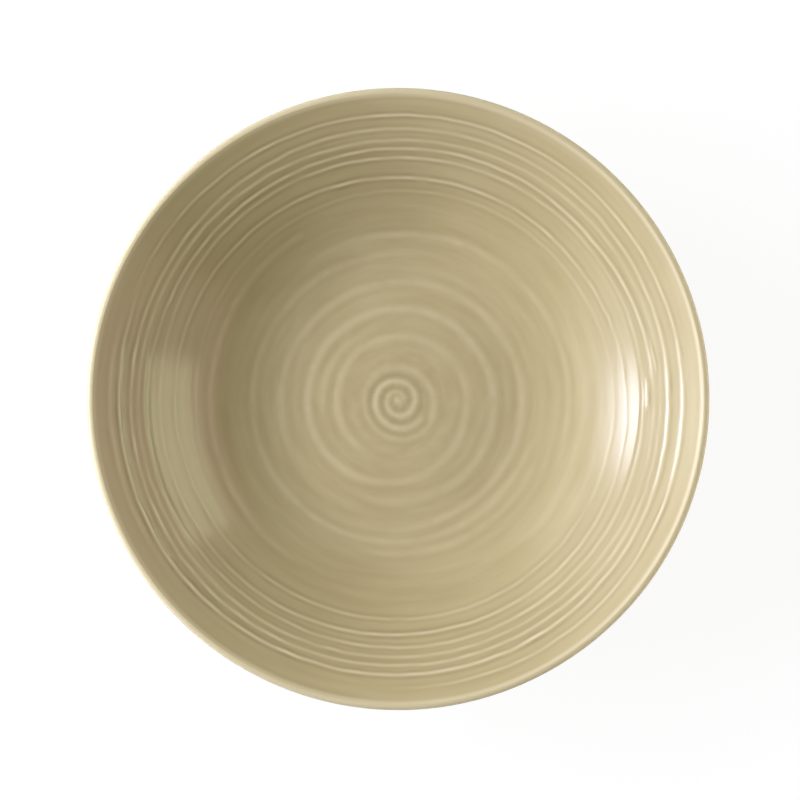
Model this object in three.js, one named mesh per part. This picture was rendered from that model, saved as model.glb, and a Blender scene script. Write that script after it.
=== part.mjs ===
// A round soup plate of glazed stoneware: a thrown clay body with a turned foot ring, a coat of glaze
// over its well, lip and outside, and a patch of glaze under its base. The foot itself stays bare.
// The potter's fingers left a ridge that winds out from the middle of the well to the lip.
// Millimetres, +Z up, with the origin in the middle of the plane that the foot stands on.
import * as THREE from "three";
import { mergeVertices } from "three/addons/utils/BufferGeometryUtils.js";

// The whole plate, over its glaze
const plateDiameter = 210;
const plateHeight = 44;

// Section of the well, the wall and the lip
const floorDiameter = 76; // flat part of the well
const floorThickness = 4.5; // well floor to the underside of the base
const sweepRadius = 52; // curve that carries the floor up into the wall
const sweepThickness = 4.2; // wall where it leaves the floor
const lipThickness = 3.6; // wall at its full-round edge

// Foot ring
const footDiameter = 112;
const footWidth = 5.2;
const recessDepth = 3; // from the table up to the underside of the base
const footFillet = 3; // hollow between the foot and the outside of the wall
const recessFillet = 1.2; // hollow between the foot and the base
const footBevel = 0.6;
const bareBand = 1; // height of the foot that is wiped free of glaze

// Glaze
const glazeThickness = 0.3;
const crestGlaze = 0.15; // thinner where it has run off a ridge

// Finger ridges
const ridgeHeight = 0.45;
const ridgeWidth = 2.4;
const ridgeFade = 0.15; // turns over which a ridge rises or dies away
const eyeRadius = 2.8; // start of the small spiral in the middle
const eyePitch = 4.6;
const eyeTurns = 1.5;
const buttonGap = 0.4; // between the feet of that spiral and of the ring round it
const buttonOffset = 1.7; // the ring lies off the axis
const floorGap = 7; // from the ring to the start of the long spiral
const floorPitch = 10.2; // ridge to ridge where the long spiral starts
const rimPitch = 1.9; // ridge to ridge where it ends
const plainBand = 4.5; // smooth wall between the last ridge and the lip

// Directions in degrees, counter-clockwise from +X
const eyeStart = 150;
const buttonSide = 270;
const longStart = 240;

// Most that a curve or a ridge may take of the room it has
const sweepShare = 0.95; // of the sweep that would reach right to the lip
const filletShare = 0.6; // of the height between the bare band and the outside of the wall
const hollowShare = 0.8; // of the height between the bare band and the base
const ridgeShare = 0.8; // of the pitch

// Fineness of the facets
const facetLength = 16.5; // along the lip
const lipSteps = 2; // from the lip's top to its widest point, and on to the outside
const sweepSteps = 2;
const filletSteps = 2;
const weldDistance = 1e-4; // corners closer than this are one

const quarterTurn = Math.PI / 2;
const fullTurn = 2 * Math.PI;
const facets = 4 * Math.round((Math.PI * plateDiameter) / facetLength / 4);
const eyeFacets = facets / 2;

// The section: a flat floor, the sweep, then a straight wall that touches the sweep and the lip circle
const lipRadius = lipThickness / 2;
const floorRadius = floorDiameter / 2;
const floorLevel = recessDepth + floorThickness;
const lipCentre = new THREE.Vector2(plateDiameter / 2 - lipRadius, plateHeight - lipRadius);
const reach = lipCentre.clone().sub(new THREE.Vector2(floorRadius, floorLevel));
const widestSweep = (reach.lengthSq() - lipRadius ** 2) / (2 * (reach.y + lipRadius));
const sweep = Math.min(sweepRadius, sweepShare * widestSweep); // leaves room for a straight wall
const sweepCentre = new THREE.Vector2(floorRadius, floorLevel + sweep);
const outerSweep = sweep + sweepThickness;
const toLip = lipCentre.clone().sub(sweepCentre);
const leanOf = (span) => Math.atan2(toLip.y, toLip.x) + Math.asin(span / toLip.length());
const innerLean = leanOf(sweep + lipRadius);
const outerLean = leanOf(outerSweep - lipRadius);

// The foot, and the fillets on both of its sides, which are held back where the foot is low
const footRadius = footDiameter / 2;
const recessRadius = footRadius - footWidth;
const outsideAtFoot = sweepCentre.y - Math.sqrt(outerSweep ** 2 - (footRadius - floorRadius) ** 2);
const fillet = Math.min(footFillet, filletShare * (outsideAtFoot - bareBand));
const filletReach = footRadius + fillet - floorRadius;
const filletDrop = Math.sqrt((outerSweep + fillet) ** 2 - filletReach ** 2);
const filletCentre = new THREE.Vector2(footRadius + fillet, sweepCentre.y - filletDrop);
const filletFacing = Math.atan2(-filletDrop, filletReach);
const recessHollow = Math.min(recessFillet, hollowShare * (recessDepth - bareBand));
const recessCentre = new THREE.Vector2(recessRadius - recessHollow, recessDepth - recessHollow);

// A station is a point of the section, radius and height, with the direction that its surface faces.
const station = (radius, height, facing) => ({ point: new THREE.Vector2(radius, height), facing });

// Stations along an arc of the section; a hollow one has a negative radius.
function arc(centre, radius, fromFacing, toFacing, steps) {
  return Array.from({ length: steps + 1 }, (_, k) => {
    const facing = THREE.MathUtils.lerp(fromFacing, toFacing, k / steps);
    return station(centre.x + radius * Math.cos(facing), centre.y + radius * Math.sin(facing), facing);
  });
}

// The inner surface at a radius: floor, sweep or wall.
function wellStation(radius) {
  const overFloor = Math.max(0, radius - floorRadius);
  const lean = Math.min(Math.asin(Math.min(1, overFloor / sweep)), innerLean);
  const touch = new THREE.Vector2(Math.sin(lean), -Math.cos(lean)).multiplyScalar(sweep).add(sweepCentre);
  return station(radius, touch.y + (radius - touch.x) * Math.tan(lean), lean + quarterTurn);
}

// The lip's highest and widest points are stations of their own.
const lipAndOutside = [
  ...arc(lipCentre, lipRadius, innerLean + quarterTurn, quarterTurn, 1),
  ...arc(lipCentre, lipRadius, quarterTurn, 0, lipSteps).slice(1),
  ...arc(lipCentre, lipRadius, 0, outerLean - quarterTurn, lipSteps).slice(1),
  ...arc(sweepCentre, outerSweep, outerLean - quarterTurn, filletFacing, sweepSteps),
  ...arc(filletCentre, -fillet, filletFacing, 0, filletSteps).slice(1),
  station(footRadius, bareBand, 0),
];

const underBase = [
  station(recessRadius, bareBand, Math.PI),
  ...arc(recessCentre, -recessHollow, Math.PI, 3 * quarterTurn, filletSteps),
];

const bareFoot = [
  station(footRadius - glazeThickness, bareBand, 0),
  station(footRadius - glazeThickness, footBevel, 0),
  station(footRadius - glazeThickness - footBevel, 0, -quarterTurn),
  station(recessRadius + glazeThickness + footBevel, 0, -quarterTurn),
  station(recessRadius + glazeThickness, footBevel, Math.PI),
  station(recessRadius + glazeThickness, bareBand, Math.PI),
];

// How far the plain surface and a full ridge crest stand off the section
const overGlaze = { plain: 0, crest: ridgeHeight };
const overClay = { plain: -glazeThickness, crest: ridgeHeight - crestGlaze };

// A corner of the surface: a station lifted along its facing and turned about the axis.
function corner({ point, facing }, angle, lift) {
  const radius = point.x + lift * Math.cos(facing);
  const height = point.y + lift * Math.sin(facing);
  return { angle, at: new THREE.Vector3(radius * Math.cos(angle), radius * Math.sin(angle), height) };
}

const ringAt = (where, lift, count) =>
  Array.from({ length: count }, (_, k) => corner(where, (k * fullTurn) / count, lift));

// A ring of the well floor that lies off the axis.
function buttonRing(radius, lift) {
  const side = THREE.MathUtils.degToRad(buttonSide);
  return Array.from({ length: eyeFacets }, (_, k) => {
    const turn = (k * fullTurn) / eyeFacets;
    const x = buttonOffset * Math.cos(side) + radius * Math.cos(turn);
    const y = buttonOffset * Math.sin(side) + radius * Math.sin(turn);
    return corner(wellStation(Math.hypot(x, y)), Math.atan2(y, x), lift);
  });
}

// A counter-clockwise loop, begun at its first corner past angle zero.
function fromZero(loop) {
  const withinTurn = (angle) => THREE.MathUtils.euclideanModulo(angle, fullTurn);
  const turned = loop.map(({ angle, at }) => ({ angle: withinTurn(angle), at }));
  const first = turned.findIndex(({ angle }, k) => k > 0 && angle < turned[k - 1].angle - Math.PI);
  return first < 0 ? turned : [...turned.slice(first), ...turned.slice(0, first)];
}

// A band of triangles between two counter-clockwise loops, which may differ in their number of corners.
function bridge(fromLoop, toLoop) {
  const near = fromZero(fromLoop);
  const far = fromZero(toLoop);
  const cornerOf = (loop, k) => loop[k % loop.length].at;
  const angleAfter = (loop, k) => {
    if (k >= loop.length) return Infinity;
    return k + 1 < loop.length ? loop[k + 1].angle : loop[0].angle + fullTurn;
  };
  const triangles = [];
  let i = 0;
  let j = 0;
  while (i < near.length || j < far.length) {
    const nearFirst = angleAfter(near, i) < angleAfter(far, j);
    const next = nearFirst ? cornerOf(near, i + 1) : cornerOf(far, j + 1);
    triangles.push([cornerOf(near, i), cornerOf(far, j), next]);
    if (nearFirst) i += 1;
    else j += 1;
  }
  return triangles;
}

const flipped = (triangles) => triangles.map(([a, b, c]) => [a, c, b]);

const fan = (tip, loop) => loop.map(({ at }, k) => [tip, at, loop[(k + 1) % loop.length].at]);

// A ridge that winds round the axis, with a foot line on each side of its crest, and the plain land
// between its turns. sense is 1 where it runs outwards counter-clockwise and -1 where clockwise.
function windRidge({ start, sense, columns, steps, radiusAt, pitchAt }, lifts) {
  const fadeSteps = ridgeFade * columns;
  const firstColumn = Math.round((start / 360) * columns) + 0.5;
  const rails = Array.from({ length: steps + 1 }, (_, k) => {
    const share = k / steps;
    const angle = ((firstColumn + sense * k) * fullTurn) / columns;
    const halfWidth = Math.min(ridgeWidth, ridgeShare * pitchAt(share)) / 2;
    const rise = THREE.MathUtils.smoothstep(Math.min(k, steps - k), 0, fadeSteps);
    const crest = THREE.MathUtils.lerp(lifts.plain, lifts.crest, rise);
    return [
      corner(wellStation(radiusAt(share) - halfWidth), angle, lifts.plain),
      corner(wellStation(radiusAt(share)), angle, crest),
      corner(wellStation(radiusAt(share) + halfWidth), angle, lifts.plain),
    ];
  });
  const triangles = [];
  const quad = (a, b, c, d) => triangles.push([a.at, b.at, c.at], [a.at, c.at, d.at]);
  for (let k = 0; k < steps; k += 1) {
    quad(rails[k][0], rails[k][1], rails[k + 1][1], rails[k + 1][0]);
    quad(rails[k][1], rails[k][2], rails[k + 1][2], rails[k + 1][1]);
  }
  for (let k = 0; k + columns < steps; k += 1) {
    quad(rails[k][2], rails[k + columns][0], rails[k + columns + 1][0], rails[k + 1][2]);
  }
  const inner = [...rails.slice(0, columns + 1).map((rail) => rail[0]), rails[0][2], rails[0][1]];
  const outer = [...rails.slice(steps - columns).map((rail) => rail[2]), rails[steps][1], rails[steps][0]];
  if (sense > 0) return { inner, outer, triangles };
  return { inner: inner.reverse(), outer: outer.reverse(), triangles: flipped(triangles) };
}

// The small spiral in the middle, at an even pitch
const eyeEnd = eyeRadius + eyePitch * eyeTurns;
const eyeSpiral = {
  start: eyeStart,
  sense: 1,
  columns: eyeFacets,
  steps: Math.round(eyeTurns * eyeFacets),
  radiusAt: (share) => THREE.MathUtils.lerp(eyeRadius, eyeEnd, share),
  pitchAt: () => eyePitch,
};

// The long spiral from the floor to the lip, whose pitch falls evenly from turn to turn
const buttonRadius = eyeEnd + ridgeWidth + buttonGap;
const longFrom = buttonRadius + buttonOffset + floorGap;
const longTo = lipCentre.x - lipRadius * Math.sin(innerLean) - plainBand;
const longTurns = (2 * (longTo - longFrom)) / (floorPitch + rimPitch);
const longSpiral = {
  start: longStart,
  sense: -1,
  columns: facets,
  steps: Math.round(longTurns * facets),
  radiusAt: (share) => longFrom + longTurns * share * (floorPitch - ((floorPitch - rimPitch) * share) / 2),
  pitchAt: (share) => THREE.MathUtils.lerp(floorPitch, rimPitch, share),
};

// The surface from the middle of the well out over the lip and down to the foot
function coatSkin(lifts) {
  const middle = wellStation(0);
  const eyeRing = ringAt(wellStation((eyeRadius - ridgeWidth / 2) / 2), lifts.plain, eyeFacets);
  const button = [
    buttonRing(buttonRadius - ridgeWidth / 2, lifts.plain),
    buttonRing(buttonRadius, lifts.crest),
    buttonRing(buttonRadius + ridgeWidth / 2, lifts.plain),
  ];
  const outside = lipAndOutside.map((where) => ringAt(where, lifts.plain, facets));
  const belt = (loop) => ({ inner: loop, outer: loop, triangles: [] });
  const belts = [
    belt(eyeRing),
    windRidge(eyeSpiral, lifts),
    ...button.map(belt),
    windRidge(longSpiral, lifts),
    ...outside.map(belt),
  ];
  return [
    ...fan(corner(middle, 0, lifts.crest).at, eyeRing),
    ...belts.flatMap(({ triangles }) => triangles),
    ...belts.slice(1).flatMap(({ inner }, k) => bridge(belts[k].outer, inner)),
  ];
}

// Rings of corners along stations, joined one to the next
const lathe = (stations, lift) => {
  const rings = stations.map((where) => ringAt(where, lift, facets));
  return rings.slice(1).flatMap((loop, k) => bridge(rings[k], loop));
};

// The underside of the base, from the foot in to the axis
function baseSkin(lift) {
  const lastRing = ringAt(underBase.at(-1), lift, facets);
  const middle = corner(station(0, recessDepth, 3 * quarterTurn), 0, lift).at;
  return [...lathe(underBase, lift), ...flipped(fan(middle, lastRing))];
}

// The narrow edge where a layer of glaze stops on the foot, from its outer face in to the clay
const glazeEdge = (where) =>
  bridge(ringAt(where, overGlaze.plain, facets), ringAt(where, overClay.plain, facets));

function pieceOf(name, triangles, finish) {
  const geometry = new THREE.BufferGeometry().setFromPoints(triangles.flat());
  const closed = mergeVertices(geometry, weldDistance);
  closed.computeVertexNormals();
  const mesh = new THREE.Mesh(closed, new THREE.MeshStandardMaterial({ ...finish, metalness: 0 }));
  mesh.name = name;
  return mesh;
}

const glazeFinish = { color: 0xbeaf8d, roughness: 0.18 };
const clayFinish = { color: 0xd6c8ad, roughness: 0.85 };

const clayBody = pieceOf(
  "clay_body",
  [...coatSkin(overClay), ...lathe(bareFoot, 0), ...baseSkin(overClay.plain)],
  clayFinish,
);

const glazeCoat = pieceOf(
  "glaze_coat",
  [...coatSkin(overGlaze), ...glazeEdge(lipAndOutside.at(-1)), ...flipped(coatSkin(overClay))],
  glazeFinish,
);

const baseGlaze = pieceOf(
  "base_glaze",
  [...baseSkin(overGlaze.plain), ...flipped(glazeEdge(underBase[0])), ...flipped(baseSkin(overClay.plain))],
  glazeFinish,
);

const soupPlate = new THREE.Group();
soupPlate.name = "soup_plate";
soupPlate.add(clayBody, glazeCoat, baseGlaze);

export default soupPlate;
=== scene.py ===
import math

import bmesh
import bpy
import numpy as np
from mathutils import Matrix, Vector


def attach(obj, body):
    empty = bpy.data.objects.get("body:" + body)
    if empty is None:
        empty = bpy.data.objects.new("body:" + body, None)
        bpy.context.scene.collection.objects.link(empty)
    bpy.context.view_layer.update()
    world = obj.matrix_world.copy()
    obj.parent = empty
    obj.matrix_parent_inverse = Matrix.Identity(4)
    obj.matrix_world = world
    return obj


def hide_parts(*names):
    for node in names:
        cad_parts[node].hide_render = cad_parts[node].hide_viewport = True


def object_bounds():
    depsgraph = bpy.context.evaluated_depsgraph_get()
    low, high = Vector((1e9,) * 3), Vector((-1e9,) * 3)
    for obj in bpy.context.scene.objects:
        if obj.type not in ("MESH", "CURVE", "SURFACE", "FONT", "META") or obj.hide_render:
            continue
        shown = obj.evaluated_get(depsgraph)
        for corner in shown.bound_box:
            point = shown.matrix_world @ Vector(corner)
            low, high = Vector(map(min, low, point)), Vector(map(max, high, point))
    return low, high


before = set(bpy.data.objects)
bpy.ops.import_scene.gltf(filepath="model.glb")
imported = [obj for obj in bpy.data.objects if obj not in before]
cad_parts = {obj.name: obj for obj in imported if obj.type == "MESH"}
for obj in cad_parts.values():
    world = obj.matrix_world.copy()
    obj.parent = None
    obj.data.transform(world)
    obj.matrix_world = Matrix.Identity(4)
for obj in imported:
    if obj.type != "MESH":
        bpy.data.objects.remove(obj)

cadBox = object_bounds()
mm = 0.001
scene = bpy.context.scene
scene.view_settings.view_transform = "Standard"

# half section of the plate over its glaze, in millimetres
plate = {
    "radius": cadBox[1][0] / mm,
    "height": cadBox[1][2] / mm,
    "floorRadius": 38,  # flat part of the well
    "floorLevel": 7.5,
    "sweepRadius": 52,  # carries the floor up into the wall
    "sweepThickness": 4.2,
    "lipRadius": 1.8,
    "bendRadius": 95,  # from here up the wall inside leans back a little, so the lip is slimmer
    "bendBack": 1.9,
    "brimRadius": 0.9,  # rounding of the lip towards the well
    "edgeRadius": 1.3,  # and away from it
    "clayLip": 1.1,  # rounding of the clay inside the lip
    "footRadius": 56,
    "footWidth": 5.2,
    "footFillet": 3,
    "footBevel": 0.6,
    "recessDepth": 3,
    "recessFillet": 1.2,
    "bareBand": 1,  # wiped free of glaze above the table
    "glaze": 0.3,
    "weldDistance": 0.002,
}

glaze = plate["glaze"]
floorRadius = plate["floorRadius"]
floorLevel = plate["floorLevel"]
sweepRadius = plate["sweepRadius"]
outerSweep = sweepRadius + plate["sweepThickness"]
lipRadius = plate["lipRadius"]
brimRadius = plate["brimRadius"]
footRadius = plate["footRadius"]
footInner = footRadius - plate["footWidth"]
footFillet = plate["footFillet"]
recessDepth = plate["recessDepth"]
recessFillet = plate["recessFillet"]
bareBand = plate["bareBand"]
footBevel = plate["footBevel"]
quarterTurn = math.pi / 2

lipCentre = (plate["radius"] - lipRadius, plate["height"] - lipRadius)
sweepCentre = (floorRadius, floorLevel + sweepRadius)
toLip = (lipCentre[0] - sweepCentre[0], lipCentre[1] - sweepCentre[1])


def leanOf(span):  # lean of a straight wall that touches the sweep and the lip circle
    return math.atan2(toLip[1], toLip[0]) + math.asin(span / math.hypot(*toLip))


innerLean = leanOf(sweepRadius + lipRadius)
outerLean = leanOf(outerSweep - lipRadius)

# hollow between the foot and the outside of the wall
filletReach = footRadius + footFillet - floorRadius
filletDrop = math.sqrt((outerSweep + footFillet) ** 2 - filletReach ** 2)
filletCentre = (footRadius + footFillet, sweepCentre[1] - filletDrop)
filletFacing = math.atan2(-filletDrop, filletReach)
recessCentre = (footInner - recessFillet, recessDepth - recessFillet)


def pointOn(centre, radius, facing):
    return (centre[0] + radius * math.cos(facing), centre[1] + radius * math.sin(facing))


# the lip: the wall inside runs past its bend almost to the top
wallEnd = pointOn(lipCentre, lipRadius, innerLean + quarterTurn)
bend = (plate["bendRadius"], wallEnd[1] - (wallEnd[0] - plate["bendRadius"]) * math.tan(innerLean))
lipLean = innerLean - math.radians(plate["bendBack"])
wallMeetsTop = bend[0] + (plate["height"] - bend[1]) / math.tan(lipLean)
brimCentre = (wallMeetsTop + brimRadius * math.tan(lipLean / 2), plate["height"] - brimRadius)
brimStart = pointOn(brimCentre, brimRadius, lipLean + quarterTurn)
edgeCentre = (plate["radius"] - plate["edgeRadius"], plate["height"] - plate["edgeRadius"])


class SectionPen:
    # draws half a section in the XZ plane, then turns it round the Z axis

    def __init__(self, radius, height):
        self.bm = bmesh.new()
        self.tip = self.bm.verts.new((radius, 0, height))

    def line(self, end, steps=1):
        stride = (Vector((end[0], 0, end[1])) - self.tip.co) / steps
        for _ in range(steps):
            grown = bmesh.ops.extrude_vert_indiv(self.bm, verts=[self.tip])
            self.tip = grown["verts"][0]
            bmesh.ops.translate(self.bm, vec=stride, verts=[self.tip])
        return self

    def arc(self, centre, fromFacing, toFacing, steps):
        turned = bmesh.ops.spin(
            self.bm,
            geom=[self.tip],
            cent=(centre[0], 0, centre[1]),
            axis=(0, 1, 0),
            angle=fromFacing - toFacing,
            steps=steps,
        )
        self.tip = [part for part in turned["geom_last"] if isinstance(part, bmesh.types.BMVert)][0]
        return self

    def turn(self, name, columns):
        bm = self.bm
        bmesh.ops.spin(
            bm,
            geom=bm.verts[:] + bm.edges[:],
            cent=(0, 0, 0),
            axis=(0, 0, 1),
            angle=2 * math.pi,
            steps=columns,
            use_merge=True,
        )
        bmesh.ops.remove_doubles(bm, verts=bm.verts, dist=plate["weldDistance"])
        bmesh.ops.recalc_face_normals(bm, faces=bm.faces)
        bmesh.ops.scale(bm, vec=(mm, mm, mm), verts=bm.verts)
        for face in bm.faces:
            face.smooth = True
        mesh = bpy.data.meshes.new(name)
        bm.to_mesh(mesh)
        bm.free()
        piece = bpy.data.objects.new(name, mesh)
        scene.collection.objects.link(piece)
        return piece


# fineness of the spun layers
glazeGrid = {
    "columns": 256,
    "floor": 80,
    "sweep": 80,
    "wall": 106,
    "lipWall": 34,
    "lip": 6,
    "outside": 6,
    "backOutside": 3,  # the hidden side, along the clay
    "backWell": 8,
    "backFloor": 4,
}
clayGrid = {"columns": 192, "line": 2, "arc": 10, "lip": 6, "foot": 4}
baseGrid = {"columns": 192, "face": 24, "fillet": 6, "back": 4}
wipedEdge = (glaze / 3, glaze / 6)  # soft edge where the glaze was wiped off, inwards and up


def turnGlazeCoat():
    grid = glazeGrid
    well = innerLean + quarterTurn  # facing of the wall inside
    outside = outerLean - quarterTurn
    under = plate["clayLip"]
    pen = SectionPen(0, floorLevel)
    pen.line((floorRadius, floorLevel), grid["floor"])
    pen.arc(sweepCentre, -quarterTurn, innerLean - quarterTurn, grid["sweep"])
    pen.line(bend, grid["wall"])
    pen.line(brimStart, grid["lipWall"])
    pen.arc(brimCentre, lipLean + quarterTurn, quarterTurn, grid["lip"])
    pen.line((edgeCentre[0], plate["height"]))
    pen.arc(edgeCentre, quarterTurn, 0, grid["lip"])
    pen.line((plate["radius"], lipCentre[1]))
    pen.arc(lipCentre, 0, outside, grid["lip"])
    pen.line(pointOn(sweepCentre, outerSweep, outside), grid["outside"])
    pen.arc(sweepCentre, outside, filletFacing, grid["outside"])
    pen.arc(filletCentre, filletFacing, 0, grid["outside"])
    pen.line((footRadius, bareBand + glaze))
    pen.line((footRadius - wipedEdge[0], bareBand + wipedEdge[1]))
    pen.line((footRadius - glaze, bareBand))
    # back along the clay
    pen.line((footRadius - glaze, filletCentre[1]))
    pen.arc(filletCentre, 0, filletFacing, grid["backOutside"])
    pen.arc(sweepCentre, filletFacing, outside, grid["backOutside"])
    pen.line(pointOn(lipCentre, under, outside), grid["backOutside"])
    pen.arc(lipCentre, outside, well, grid["backWell"])
    pen.line(pointOn(sweepCentre, sweepRadius + glaze, innerLean - quarterTurn), grid["backWell"])
    pen.arc(sweepCentre, innerLean - quarterTurn, -quarterTurn, grid["backWell"])
    pen.line((0, floorLevel - glaze), grid["backFloor"])
    return pen.turn("glazeCoat", grid["columns"])


def turnClayBody():
    grid = clayGrid
    well = innerLean + quarterTurn
    outside = outerLean - quarterTurn
    under = plate["clayLip"]
    pen = SectionPen(0, floorLevel - glaze)
    pen.line((floorRadius, floorLevel - glaze), grid["line"])
    pen.arc(sweepCentre, -quarterTurn, innerLean - quarterTurn, grid["arc"])
    pen.line(pointOn(lipCentre, under, well), grid["line"])
    pen.arc(lipCentre, well, outside, grid["lip"])
    pen.line(pointOn(sweepCentre, outerSweep - glaze, outside), grid["line"])
    pen.arc(sweepCentre, outside, filletFacing, grid["arc"])
    pen.arc(filletCentre, filletFacing, 0, grid["lip"])
    # the bare foot ring, with its edges rubbed round
    outer = footRadius - glaze
    inner = footInner + glaze
    pen.line((outer, bareBand), grid["line"])
    pen.line((outer, footBevel), grid["line"])
    pen.arc((outer - footBevel, footBevel), 0, -quarterTurn, grid["foot"])
    pen.line((inner + footBevel, 0), grid["foot"])
    pen.arc((inner + footBevel, footBevel), -quarterTurn, -2 * quarterTurn, grid["foot"])
    pen.line((inner, recessCentre[1]), grid["line"])
    pen.arc(recessCentre, 0, quarterTurn, grid["foot"])
    pen.line((0, recessDepth + glaze), grid["foot"])
    return pen.turn("clayBody", grid["columns"])


def turnBaseGlaze():
    grid = baseGrid
    pen = SectionPen(0, recessDepth)
    pen.line((footInner - recessFillet, recessDepth), grid["face"])
    pen.arc(recessCentre, quarterTurn, 0, grid["fillet"])
    pen.line((footInner, bareBand + glaze))
    pen.line((footInner + wipedEdge[0], bareBand + wipedEdge[1]))
    pen.line((footInner + glaze, bareBand))
    pen.line((footInner + glaze, recessCentre[1]))
    pen.arc(recessCentre, 0, quarterTurn, grid["back"])
    pen.line((0, recessDepth + glaze), grid["back"])
    return pen.turn("baseGlaze", grid["columns"])


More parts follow.
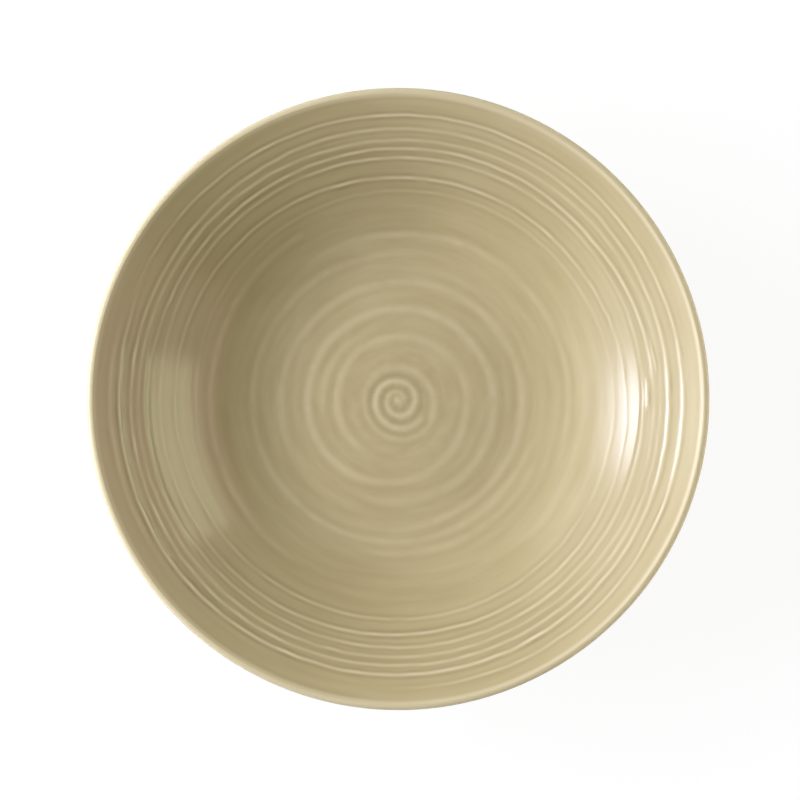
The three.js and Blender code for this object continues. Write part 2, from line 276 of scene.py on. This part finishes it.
# finger ridges of the well; a path runs through (direction, radius, strength): degrees counter-clockwise
# from +X with a whole turn for each lap, millimetres, and the share of full height that it has there;
# hollow is how dark the band beside the crest is painted, a painted shade of the groove where the glaze
# also runs thick, and crest how thin the glaze lies on the crest, 1 if none is given
ridgeLines = {
    "eyeSpiral": {
        "height": 0.26,
        "width": 1.15,
        "hollow": 0.75,
        "crest": 0.75,
        "path": [(-30, 1.8, 0.3), (10, 2.0, 0.35), (93, 2.9, 0.35), (174, 3.9, 0.4), (230, 5.1, 0.45),
                 (277, 6.1, 0.45), (323, 6.0, 0.5), (364, 5.8, 0.5), (420, 5.9, 0.5), (457, 6.1, 0.6),
                 (511, 7.3, 0.65), (548, 8.0, 0.65), (600, 9.3, 0.55), (636, 10.5, 0.5), (695, 10.6, 0.4)],
    },
    "eyeRing": {
        "height": 0.24,
        "width": 1.35,
        "hollow": 0.42,
        "crest": 0.7,
        "path": [(0, 12.4, 0.27), (45, 11.2, 0.27), (90, 11.0, 0.25), (155, 11.5, 0.17), (190, 11.6, 0.23),
                 (240, 12.8, 0.25), (273, 13.9, 0.28), (320, 13.6, 0.3), (360, 12.4, 0.27)],
    },
    "floorSpiral": {
        "height": 0.3,
        "width": 1.4,
        "hollow": 0.5,
        "path": [(240, 21.7, 0.18), (180, 21.7, 0.3), (120, 21.7, 0.22), (60, 22.4, 0.18), (30, 23.4, 0.13),
                 (-15, 24.1, 0.22), (-60, 26.9, 0.17), (-90, 29.0, 0.17), (-120, 30.7, 0.26),
                 (-150, 31.8, 0.26), (-240, 31.4, 0.25), (-300, 32.0, 0.24), (-360, 33.2, 0.2),
                 (-420, 35.3, 0.17), (-480, 36.3, 0.12)],
    },
    "floorTrace": {
        "height": 0.3,
        "width": 1.4,
        "hollow": 0.7,
        "path": [(200, 26.9, 0.2), (150, 26.2, 0.15), (120, 26.2, 0.1)],
    },
    "sweepFoot": {
        "height": 0.3,
        "width": 1.3,
        "hollow": 0.5,
        "path": [(215, 41.9, 0.14), (180, 41.2, 0.22), (135, 40.3, 0.18), (90, 40.9, 0.16), (30, 42.3, 0.16),
                 (0, 43.3, 0.2), (-60, 44.0, 0.17), (-100, 45.7, 0.1)],
    },
    "sweepLow": {
        "height": 0.3,
        "width": 1.2,
        "hollow": 0.5,
        "path": [(350, 48.0, 0.1), (300, 49.0, 0.14), (240, 50.4, 0.22), (210, 50.9, 0.17),
                 (170, 50.6, 0.1), (120, 50.4, 0.13), (75, 50.8, 0.15)],
    },
    "sweepTrace": {
        "height": 0.3,
        "width": 1.3,
        "hollow": 0.5,
        "path": [(345, 52.3, 0.1), (300, 53.3, 0.12), (250, 54.7, 0.1)],
    },
    "sweepMiddle": {
        "height": 0.3,
        "width": 1.3,
        "hollow": 0.5,
        "path": [(135, 56.2, 0.12), (90, 57.4, 0.21), (60, 58.5, 0.18), (15, 59.1, 0.12), (-30, 59.5, 0.1)],
    },
    "sweepHigh": {
        "height": 0.3,
        "width": 1.2,
        "hollow": 0.5,
        "path": [(240, 66.2, 0.12), (170, 65.5, 0.18), (120, 66.2, 0.12)],
    },
    "wallSpiral": {
        "height": 0.18,
        "width": 0.68,
        "hollow": 0.5,
        "crest": 0.75,
        "path": [(200, 70.2, 0.06), (150, 70.8, 0.16), (90, 72.0, 0.27), (30, 73.1, 0.18), (0, 74.4, 0.05),
                 (-60, 75.5, 0.35), (-120, 76.2, 0.45), (-180, 77.0, 0.28), (-210, 77.0, 0.4),
                 (-265, 76.2, 0.9), (-300, 76.5, 0.55), (-330, 77.0, 0.4), (-360, 78.3, 0.25),
                 (-390, 79.9, 0.3), (-420, 80.6, 0.55), (-450, 80.9, 0.85), (-480, 81.9, 0.75),
                 (-525, 81.9, 0.25), (-550, 82.0, 0.25), (-580, 82.6, 0.45), (-623, 82.7, 0.6),
                 (-690, 83.6, 0.3), (-720, 84.0, 0.2), (-750, 84.4, 0.35), (-810, 85.1, 0.6),
                 (-865, 85.5, 0.5), (-880, 85.9, 0.35), (-915, 85.4, 0.4), (-930, 85.2, 0.7),
                 (-960, 85.1, 0.9), (-1005, 86.0, 0.55), (-1040, 85.7, 0.65), (-1070, 87.1, 0.6),
                 (-1078, 87.4, 0.15), (-1110, 87.8, 0.2), (-1140, 87.6, 0.35), (-1200, 88.7, 0.55),
                 (-1250, 89.1, 0.25), (-1290, 88.4, 0.5), (-1335, 88.1, 0.5), (-1380, 88.9, 0.3),
                 (-1440, 89.4, 0.14), (-1470, 90.0, 0.27), (-1530, 90.7, 0.6), (-1570, 91.4, 0.75),
                 (-1620, 91.3, 0.6), (-1655, 90.7, 0.75), (-1705, 91.9, 0.45), (-1740, 91.9, 0.32),
                 (-1775, 91.8, 0.45), (-1800, 91.8, 0.7), (-1830, 92.4, 0.5), (-1860, 93.3, 0.65),
                 (-1910, 93.8, 0.75), (-1945, 94.8, 0.9), (-1965, 94.5, 0.95), (-2010, 95.4, 0.4)],
    },
    "dab": {
        "height": 0.3,
        "width": 0.6,
        "hollow": 0.7,
        "path": [(6, 84.9, 0.5), (-3, 85.3, 0.5)],
    },
    "nick": {
        "height": 0.25,
        "width": 0.4,
        "hollow": 0.6,
        "path": [(15, 88.0, 0.5), (5, 88.5, 0.5)],
    },
    "lipTrace": {
        "height": 0.2,
        "width": 0.9,
        "hollow": 0.5,
        "path": [(222, 96.9, 0.15), (200, 97.4, 0.3), (180, 97.7, 0.35), (160, 97.4, 0.2)],
    },
    "lastRidge": {
        "height": 0.2,
        "width": 0.6,
        "hollow": 0.5,
        "crest": 0.8,
        "path": [(165, 96.5, 0.3), (120, 96.2, 0.7), (75, 96.2, 0.55), (50, 96.2, 0.38), (20, 96.2, 0.5),
                 (-30, 96.8, 0.6), (-45, 97.5, 0.5), (-95, 97.8, 0.3)],
    },
}

fingerMarks = {
    "seed": 11,
    "fade": 20,  # degrees over which a ridge rises or dies away
    "fadeParts": 3,  # a short ridge is parted so, into its rise, its middle and its end
    "rounding": 21,  # degrees over which a bend in a path is eased
    "wobbleStep": 3,  # degrees from one small waver of the finger to the next
    "wobble": 0.08,
    "unevenness": 0.28,
    "faintest": 0.55,  # a ridge never drops under this share for its unevenness
    "steadyRadius": 60,  # the finger wavers less towards the middle
    "sink": 0.03,  # the hollows lie this far under the plain section
    "eyeHeight": 0.25,
    "eyeWidth": 1.7,
    "eyeThin": 0.45,  # how bare the middle is
    # how much paler the lip's top is: the glaze drawn thin, and painted light where the lip faces up
    "thinAndLitLip": 0.5,
    "thinFrom": 101.6,  # radius from which the lip is paler: glaze drawn off towards the lip, with painted light on its top
    "thinOver": 0.9,
    "thinSlope": 2,  # it is paler where the lip faces up, painted light on its top as well as thin glaze, and no more where it faces out
    "thinStart": 0.6,
    "wellSlack": 0.01,
    "wellFacing": 0.2,  # the well's surface faces up at least this much
    "leastRadius": 1e-9,
    "hollowAt": 1.9,  # from a crest to the hollow beside it, in ridge widths
    "hollowWidth": 0.95,
    "smoothRadius": 81,  # on the left the glaze has levelled the ridges here
    "smoothReach": 6,
    "smoothing": 0.75,
    "smoothSide": 6,  # powers: how closely it keeps to the left, and how sharply it ends
    "smoothEdge": 4,
    # slow swell of the wall on its two sides, as (radius, lift)
    "swellRight": [(58, 0), (66, 0.27), (68, 0.21), (70, 0.14), (72, 0.09), (74, 0.06), (76, 0.06),
                   (78, 0.09), (80, 0.15), (82.6, 0.27), (83.4, 0.2), (89, 0), (95, -0.2), (103, 0)],
    "swellLeft": [(58, 0), (66, 0.2), (72, 0.13), (84.6, 0.36), (87.2, 0.58), (88.2, 0.46), (92.3, 0.1),
                  (95.3, 0.05), (103, 0)],
}


def wellLean(radius):
    overFloor = np.clip((radius - floorRadius) / sweepRadius, 0, math.sin(innerLean))
    return np.arcsin(overFloor)


def easedPath(path, waver):
    angles, radii, strengths = zip(*sorted(path))
    every = np.arange(angles[0], angles[-1] + 1)
    half = fingerMarks["rounding"] // 2
    window = np.hanning(2 * half + 3)[1:-1]
    padded = np.pad(np.interp(every, angles, radii), half, "reflect", reflect_type="odd")
    knots = np.arange(angles[0], angles[-1] + fingerMarks["wobbleStep"], fingerMarks["wobbleStep"])
    wobble = np.interp(every, knots, waver.normal(0, fingerMarks["wobble"], len(knots)))
    uneven = np.interp(every, knots, waver.normal(0, fingerMarks["unevenness"], len(knots)))
    eased = np.convolve(padded, window / window.sum(), "valid")
    if path[0][1] == path[-1][1]:  # a ring joins up with itself
        wobble[-1] = wobble[0]
        uneven[-1] = uneven[0]
    unsteady = np.minimum(eased / fingerMarks["steadyRadius"], 1)
    pressed = np.maximum(1 + uneven * unsteady, fingerMarks["faintest"])
    return every, eased + wobble * unsteady, np.interp(every, angles, strengths) * pressed


def pressRidges(piece):
    mesh = piece.data
    count = len(mesh.vertices)
    places = np.empty(count * 3)
    mesh.vertices.foreach_get("co", places)
    places = places.reshape(count, 3)
    radius = np.hypot(places[:, 0], places[:, 1]) / mm
    angle = np.degrees(np.arctan2(places[:, 1], places[:, 0])) % 360
    lean = wellLean(radius)
    lipStart = brimStart[0]
    facing = np.empty(count * 3)
    mesh.vertices.foreach_get("normal", facing)
    upwards = facing[2::3]
    marks = fingerMarks
    inWell = (radius < lipStart + marks["wellSlack"]) & (upwards > marks["wellFacing"])
    waver = np.random.default_rng(marks["seed"])

    right = np.interp(radius, *zip(*marks["swellRight"]))
    left = np.interp(radius, *zip(*marks["swellLeft"]))
    toLeft = (1 - np.cos(np.radians(angle))) / 2
    lift = right + (left - right) * toLeft - marks["sink"]
    fromSmooth = (radius - marks["smoothRadius"]) / marks["smoothReach"]
    atSmooth = toLeft ** marks["smoothSide"] * np.exp(-fromSmooth ** marks["smoothEdge"])
    relief = 1 - marks["smoothing"] * atSmooth
    thin = np.zeros(count)
    hollowShade = np.zeros(count)
    for ridge in ridgeLines.values():
        every, path, strength = easedPath(ridge["path"], waver)
        ring = ridge["path"][0][1] == ridge["path"][-1][1]
        for lap in range(int(every[0] // 360), int(every[-1] // 360) + 1):
            along = angle + 360 * lap
            fromEnd = np.minimum(along - every[0], every[-1] - along)
            fadeOver = min(marks["fade"], (every[-1] - every[0]) / marks["fadeParts"])
            fade = np.clip(fromEnd / fadeOver, 0, 1)
            fade = np.where(fromEnd >= 0, 1, 0) if ring else fade * fade * (3 - 2 * fade)
            share = fade * np.interp(along, every, strength)
            off = (radius - np.interp(along, every, path)) / np.cos(lean) / ridge["width"]
            lift += ridge["height"] * relief * share / (1 + off * off)
            thin = np.maximum(thin, ridge.get("crest", 1) * share * np.exp(-off * off))
            # painted shade: a band beside each crest is darkened in colour, where the glaze also runs thick
            beside = (np.abs(off) - marks["hollowAt"]) / marks["hollowWidth"]
            hollowShade = np.maximum(hollowShade, ridge["hollow"] * share * np.exp(-beside * beside))
    eye = np.exp(-(radius / marks["eyeWidth"]) ** 2)
    lift += marks["eyeHeight"] * eye
    thin = np.maximum(thin, marks["eyeThin"] * eye)

    fadeToLip = np.clip(lipStart - radius, 0, 1)
    lift = np.where(inWell, lift * fadeToLip, 0) * mm
    outwards = places[:, :2] / np.maximum(radius * mm, marks["leastRadius"])[:, None]
    places[:, :2] -= outwards * (lift * np.sin(lean))[:, None]
    places[:, 2] += lift * np.cos(lean)
    mesh.vertices.foreach_set("co", places.ravel())

    # the lip is paler where it faces up: thin glaze there and painted light on its top
    pastWall = np.clip((radius - marks["thinFrom"]) / marks["thinOver"], 0, 1)
    onLip = pastWall * np.clip(upwards * marks["thinSlope"] - marks["thinStart"], 0, 1)
    # the attribute holds the glaze's thinness, less the painted shade beside the crests, plus the painted
    # light on the lip's top
    thin = np.where(inWell, thin - hollowShade, 0) + marks["thinAndLitLip"] * onLip
    mesh.attributes.new("thinGlazeAndPaintedLight", "FLOAT", "POINT").data.foreach_set("value", thin)
    mesh.update()


class Flow:
    # one socket of a node tree: sums on it become Math nodes

    def __init__(self, finish, socket):
        self.finish = finish
        self.socket = socket

    def math(self, operation, first, second):
        return self.finish.add("ShaderNodeMath", {"operation": operation}, {0: first, 1: second})

    def __add__(self, other):
        return self.math("ADD", self, other)

    def __sub__(self, other):
        return self.math("SUBTRACT", self, other)

    def __rsub__(self, other):
        return self.math("SUBTRACT", other, self)

    def __mul__(self, other):
        return self.math("MULTIPLY", self, other)

    def __pow__(self, other):
        return self.math("POWER", self, other)

    __radd__ = __add__
    __rmul__ = __mul__


class Finish:
    # the node tree of a material or of the world

    def __init__(self, owner):
        owner.use_nodes = True
        self.owner = owner
        self.tree = owner.node_tree
        self.tree.nodes.clear()

    def add(self, kind, settings=None, sockets=None, out=0):
        node = self.tree.nodes.new(kind)
        for name, value in (settings or {}).items():
            setattr(node, name, value)
        for name, value in (sockets or {}).items():
            if isinstance(value, Flow):
                self.tree.links.new(value.socket, node.inputs[name])
            else:
                node.inputs[name].default_value = value
        return Flow(self, node.outputs[out]) if node.outputs else None

    def mix(self, factor, first, second):
        settings = {"data_type": "RGBA", "clamp_factor": True}
        return self.add("ShaderNodeMix", settings, {0: factor, 6: first, 7: second}, 2)

    def vector(self, operation, sockets, out=0):
        return self.add("ShaderNodeVectorMath", {"operation": operation}, sockets, out)

    def noise(self, size, detail=3):
        place = self.add("ShaderNodeTexCoord", out="Object")
        return self.add("ShaderNodeTexNoise", None, {"Vector": place, "Scale": 1 / size, "Detail": detail})

    def streaks(self, size, perTurn, detail=3):  # noise drawn out round the axis
        place = self.add("ShaderNodeTexCoord", out="Object")
        flat = self.vector("MULTIPLY", {0: place, 1: (1, 1, 0)})
        radius = self.vector("LENGTH", {0: flat}, "Value")
        ring = self.vector("SCALE", {0: self.vector("NORMALIZE", {0: flat}), "Scale": perTurn})
        rise = self.add("ShaderNodeCombineXYZ", None, {"Z": radius * (1 / size)})
        turned = self.vector("ADD", {0: ring, 1: rise})
        return self.add("ShaderNodeTexNoise", None, {"Vector": turned, "Scale": 1, "Detail": detail})


def colour(red, green, blue):  # from 0 to 255 as seen, to the linear values of a socket
    def linear(part):
        share = part / 255
        return share / 12.92 if share <= 0.04045 else ((share + 0.055) / 1.055) ** 2.4
    return (linear(red), linear(green), linear(blue), 1)


glazeLook = {
    "pooled": colour(173, 157, 116),  # where it lies thick
    "plain": colour(186, 171, 131),
    "thin": colour(221, 208, 173),  # broken over a ridge, and the painted light on the lip's top
    "hollowShade": colour(146, 131, 92),  # painted shade beside a crest, where the glaze also runs thick
    "roughness": 0.16,
    "roughnessSpread": 0.05,
    "ior": 1.5,
    "cloudSize": 0.03,
    "streakSize": 0.003,
    "streaksPerTurn": 2.2,
    "streakDepth": 0.00003,
    # how streaks and clouds share in the passage from pooled to plain, and where it starts
    "streakShare": 1.5,
    "cloudShare": 0.6,
    "pooledShare": 0.4,
}


def mixGlaze(name):
    look = glazeLook
    finish = Finish(bpy.data.materials.new(name))
    # the attribute read here: thin glaze and painted light on the lip make it higher, the painted shade
    # beside the crests makes it negative
    thin = finish.add("ShaderNodeAttribute", {"attribute_name": "thinGlazeAndPaintedLight"}, None, "Fac")
    cloud = finish.noise(look["cloudSize"])
    streak = finish.streaks(look["streakSize"], look["streaksPerTurn"])
    spread = look["roughnessSpread"]
    evenness = streak * look["streakShare"] + cloud * look["cloudShare"] - look["pooledShare"]
    land = finish.mix(evenness, look["pooled"], look["plain"])
    # lighter for thin glaze over the crests and for the painted light on the lip's top
    tint = finish.mix(thin, land, look["thin"])
    # darker where the painted shade beside the crests outweighs the thin glaze
    tint = finish.mix(thin * -1, tint, look["hollowShade"])
    normal = finish.add("ShaderNodeBump", None, {"Distance": look["streakDepth"], "Height": streak})
    shader = finish.add(
        "ShaderNodeBsdfPrincipled",
        None,
        {
            "Base Color": tint,
            "Roughness": cloud * spread + (look["roughness"] - spread / 2),
            "IOR": look["ior"],
            "Normal": normal,
        },
    )
    finish.add("ShaderNodeOutputMaterial", None, {"Surface": shader})
    return finish.owner


clayLook = {
    "body": colour(205, 186, 152),
    "grain": colour(182, 160, 126),
    "speck": colour(128, 104, 80),
    "roughness": 0.85,
    "roughnessSpread": 0.1,
    "grainSize": 0.0016,
    "grainDetail": 4,
    "grainDepth": 0.00006,
    "speckSize": 0.0011,
    "speckDetail": 2,
    "speckFrom": 0.66,  # height of the noise from which it is a speck
    "speckEdge": 8,  # how sharply a speck ends
}


def mixBareClay(name):
    look = clayLook
    finish = Finish(bpy.data.materials.new(name))
    spread = look["roughnessSpread"]
    grain = finish.noise(look["grainSize"], look["grainDetail"])
    specks = finish.noise(look["speckSize"], look["speckDetail"])
    fired = finish.mix(grain, look["body"], look["grain"])
    spotted = finish.mix((specks - look["speckFrom"]) * look["speckEdge"], fired, look["speck"])
    normal = finish.add("ShaderNodeBump", None, {"Distance": look["grainDepth"], "Height": grain})
    shader = finish.add(
        "ShaderNodeBsdfPrincipled",
        None,
        {
            "Base Color": spotted,
            "Roughness": grain * spread + (look["roughness"] - spread / 2),
            "Normal": normal,
        },
    )
    finish.add("ShaderNodeOutputMaterial", None, {"Surface": shader})
    return finish.owner


glazeMaterial = mixGlaze("sandGlaze")
clayMaterial = mixBareClay("bareClay")

glazeCoat = turnGlazeCoat()
pressRidges(glazeCoat)
glazeCoat.data.materials.append(glazeMaterial)
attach(glazeCoat, "root")
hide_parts("glaze_coat")
print("glaze coat", len(glazeCoat.data.polygons), "faces")

clayBody = turnClayBody()
clayBody.data.materials.append(clayMaterial)
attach(clayBody, "root")
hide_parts("clay_body")
print("clay body", len(clayBody.data.polygons), "faces")

baseGlaze = turnBaseGlaze()
baseGlaze.data.materials.append(glazeMaterial)
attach(baseGlaze, "root")
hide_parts("base_glaze")
print("base glaze", len(baseGlaze.data.polygons), "faces")

studio = {
    "floorRadius": 4,
    "floorSides": 96,
    "floorColour": (0.8, 0.8, 0.8, 1),
    "floorGlow": 0.9,  # part of the white that the camera sees without the lamps
    "floorShade": 0.12,  # part that the lamps and the shadow change
    "floorInGloss": 0.3,  # share of that white in a gloss, where the plate shades the table
    "backdrop": 1,  # white band round the horizon
    "walls": 0.13,
    "ceiling": 0.5,
    "ceilingTint": (1, 0.965, 0.835, 1),
    # heights of a direction, from 0 at the horizon to 1 straight up, where one passes into the next
    "backdropTop": 0.12,
    "wallsStart": 0.2,
    "wallsTop": 0.45,
    "ceilingStart": 0.95,
}


def layFloor():
    bm = bmesh.new()
    sides = studio["floorSides"]
    bmesh.ops.create_circle(bm, cap_ends=True, segments=sides, radius=studio["floorRadius"])
    mesh = bpy.data.meshes.new("floor")
    bm.to_mesh(mesh)
    bm.free()
    floor = bpy.data.objects.new("floor", mesh)
    scene.collection.objects.link(floor)
    finish = Finish(bpy.data.materials.new("whiteFloor"))
    seen = seenDirectly(finish, studio["floorInGloss"])
    shade = studio["floorShade"]
    shaded = finish.add("ShaderNodeBsdfDiffuse", None, {"Color": (shade, shade, shade, 1)})
    glow = finish.add("ShaderNodeEmission", None, {"Strength": studio["floorGlow"]})
    white = finish.add("ShaderNodeAddShader", None, {0: shaded, 1: glow})
    plain = finish.add("ShaderNodeBsdfDiffuse", None, {"Color": studio["floorColour"]})
    either = finish.add("ShaderNodeMixShader", None, {0: seen, 1: plain, 2: white})
    finish.add("ShaderNodeOutputMaterial", None, {"Surface": either})
    mesh.materials.append(finish.owner)


def seenDirectly(finish, inGloss=1):  # 1 for rays that show the background itself, also in a gloss
    camera = finish.add("ShaderNodeLightPath", out="Is Camera Ray")
    gloss = finish.add("ShaderNodeLightPath", out="Is Glossy Ray") * inGloss
    clear = finish.add("ShaderNodeLightPath", out="Is Transmission Ray")
    return camera.math("MAXIMUM", camera.math("MAXIMUM", camera, gloss), clear)


def lightRoom():
    world = bpy.data.worlds.new("whiteRoom")
    scene.world = world
    finish = Finish(world)
    direction = finish.add("ShaderNodeTexCoord")
    height = finish.add("ShaderNodeSeparateXYZ", None, {0: direction}, "Z")
    smooth = {"interpolation_type": "SMOOTHSTEP"}
    walls = studio["walls"]
    # Map Range takes the height from 1 to 2 into the strength from 3 to 4
    low = {1: studio["backdropTop"], 2: studio["wallsStart"], 3: studio["backdrop"] - walls, 4: 0}
    high = {1: studio["wallsTop"], 2: studio["ceilingStart"], 3: 0, 4: studio["ceiling"] - walls}
    lower = finish.add("ShaderNodeMapRange", smooth, {0: height, **low})
    upper = finish.add("ShaderNodeMapRange", smooth, {0: height, **high})
    around = lower * seenDirectly(finish) + walls
    band = finish.add("ShaderNodeBackground", None, {"Color": (1, 1, 1, 1), "Strength": around})
    ceiling = finish.add("ShaderNodeBackground", None, {"Color": studio["ceilingTint"], "Strength": upper})
    room = finish.add("ShaderNodeAddShader", None, {0: band, 1: ceiling})
    finish.add("ShaderNodeOutputWorld", None, {"Surface": room})


# softboxes round the table: directions in degrees, distances and sides in metres
softboxes = {
    "keyBox": {
        "azimuth": 170, "elevation": 31.5, "distance": 1,
        "width": 1.25, "height": 0.27, "radiance": 15.1,
        "tint": (0.96, 0.985, 1.09), "gloss": False, "matt": True, "fading": 0,
    },
    "leftCard": {
        "azimuth": 174, "elevation": 17, "distance": 1.5,
        "width": 5.4, "height": 0.6, "radiance": 1.8,
        "tint": (0.97, 1, 1.12), "gloss": True, "matt": False, "fading": 2,
    },
    "lowStrip": {
        "azimuth": 176, "elevation": 14.5, "distance": 1.6,
        "width": 1.1, "height": 0.4, "radiance": 16,
        "tint": (0.96, 1, 1.25), "gloss": True, "matt": False, "fading": 2,
    },
    "tableStrip": {
        "azimuth": 172, "elevation": 4, "distance": 1.6,
        "width": 1.5, "height": 0.12, "radiance": 2,
        "tint": (1, 1, 1), "gloss": True, "matt": True, "fading": 0,
    },
    "wallStrip": {
        "azimuth": 180, "elevation": 7, "distance": 1.6,
        "width": 6, "height": 0.3, "radiance": 4.5,
        "tint": (0.92, 0.98, 1.32), "gloss": False, "matt": True, "fading": 0,
    },
    "fillCard": {
        "azimuth": 13, "elevation": 17, "distance": 1.6,
        "width": 1.3, "height": 0.2, "radiance": 3.6,
        "tint": (0.97, 1, 0.66), "gloss": True, "matt": True, "fading": 0,
    },
    "roseCard": {
        "azimuth": 5, "elevation": 26, "distance": 1.6,
        "width": 2.6, "height": 0.66, "radiance": 1.6,
        "tint": (1, 0.67, 0.7), "gloss": True, "matt": False, "fading": 0.7,
    },
    "rightFill": {
        "azimuth": -5, "elevation": 11, "distance": 1.6,
        "width": 1.3, "height": 0.5, "radiance": 3.3,
        "tint": (1, 0.98, 0.93), "gloss": False, "matt": True, "fading": 0,
    },
    "rimFill": {
        "azimuth": 0, "elevation": 0.85, "distance": 1.6,
        "width": 2.4, "height": 0.045, "radiance": 50,
        "tint": (1, 0.98, 0.93), "gloss": False, "matt": True, "fading": 0,
    },
}


def hangSoftbox(name, box):
    lamp = bpy.data.lights.new(name, "AREA")
    lamp.shape = "RECTANGLE"
    lamp.size = box["width"]
    lamp.size_y = box["height"]
    lamp.energy = box["radiance"] * math.pi * box["width"] * box["height"]
    lamp.color = box["tint"]
    holder = bpy.data.objects.new(name, lamp)
    azimuth = math.radians(box["azimuth"])
    elevation = math.radians(box["elevation"])
    level = math.cos(elevation)
    aim = Vector((math.cos(azimuth) * level, math.sin(azimuth) * level, math.sin(elevation)))
    holder.location = aim * box["distance"]
    holder.rotation_euler = aim.to_track_quat("Z", "Y").to_euler()
    holder.visible_glossy = box["gloss"]
    holder.visible_diffuse = box["matt"]
    if box["fading"]:
        fadeSoftbox(lamp, box["fading"])
    scene.collection.objects.link(holder)


def fadeSoftbox(lamp, fading):  # brightest in the middle and dark at the edges
    finish = Finish(lamp)
    spot = finish.add("ShaderNodeNewGeometry", out="Parametric")
    across = finish.add("ShaderNodeSeparateXYZ", None, {0: spot}, "X")
    along = finish.add("ShaderNodeSeparateXYZ", None, {0: spot}, "Y")
    bell = across * (1 - across) * 4 * along * (1 - along) * 4  # a 4 for each side makes the middle 1
    shine = finish.add("ShaderNodeEmission", None, {"Strength": bell ** fading})
    finish.add("ShaderNodeOutputLight", None, {"Surface": shine})


layFloor()
lightRoom()
for boxName, box in softboxes.items():
    hangSoftbox(boxName, box)
print("floor, room light and", len(softboxes), "softboxes")

# straight above the plate, a metre over its lip
view = {"offset": (0.574, -0.34), "distance": 1000, "width": 270.1, "sensor": 36}


def placeCamera():
    camera = bpy.data.cameras.new("camera")
    camera.sensor_width = view["sensor"]
    camera.lens = view["sensor"] * view["distance"] / view["width"]
    holder = bpy.data.objects.new("camera", camera)
    across, up = view["offset"]
    holder.location = (across * mm, up * mm, (lipCentre[1] + view["distance"]) * mm)
    scene.collection.objects.link(holder)
    scene.camera = holder


placeCamera()
print("camera over the plate")
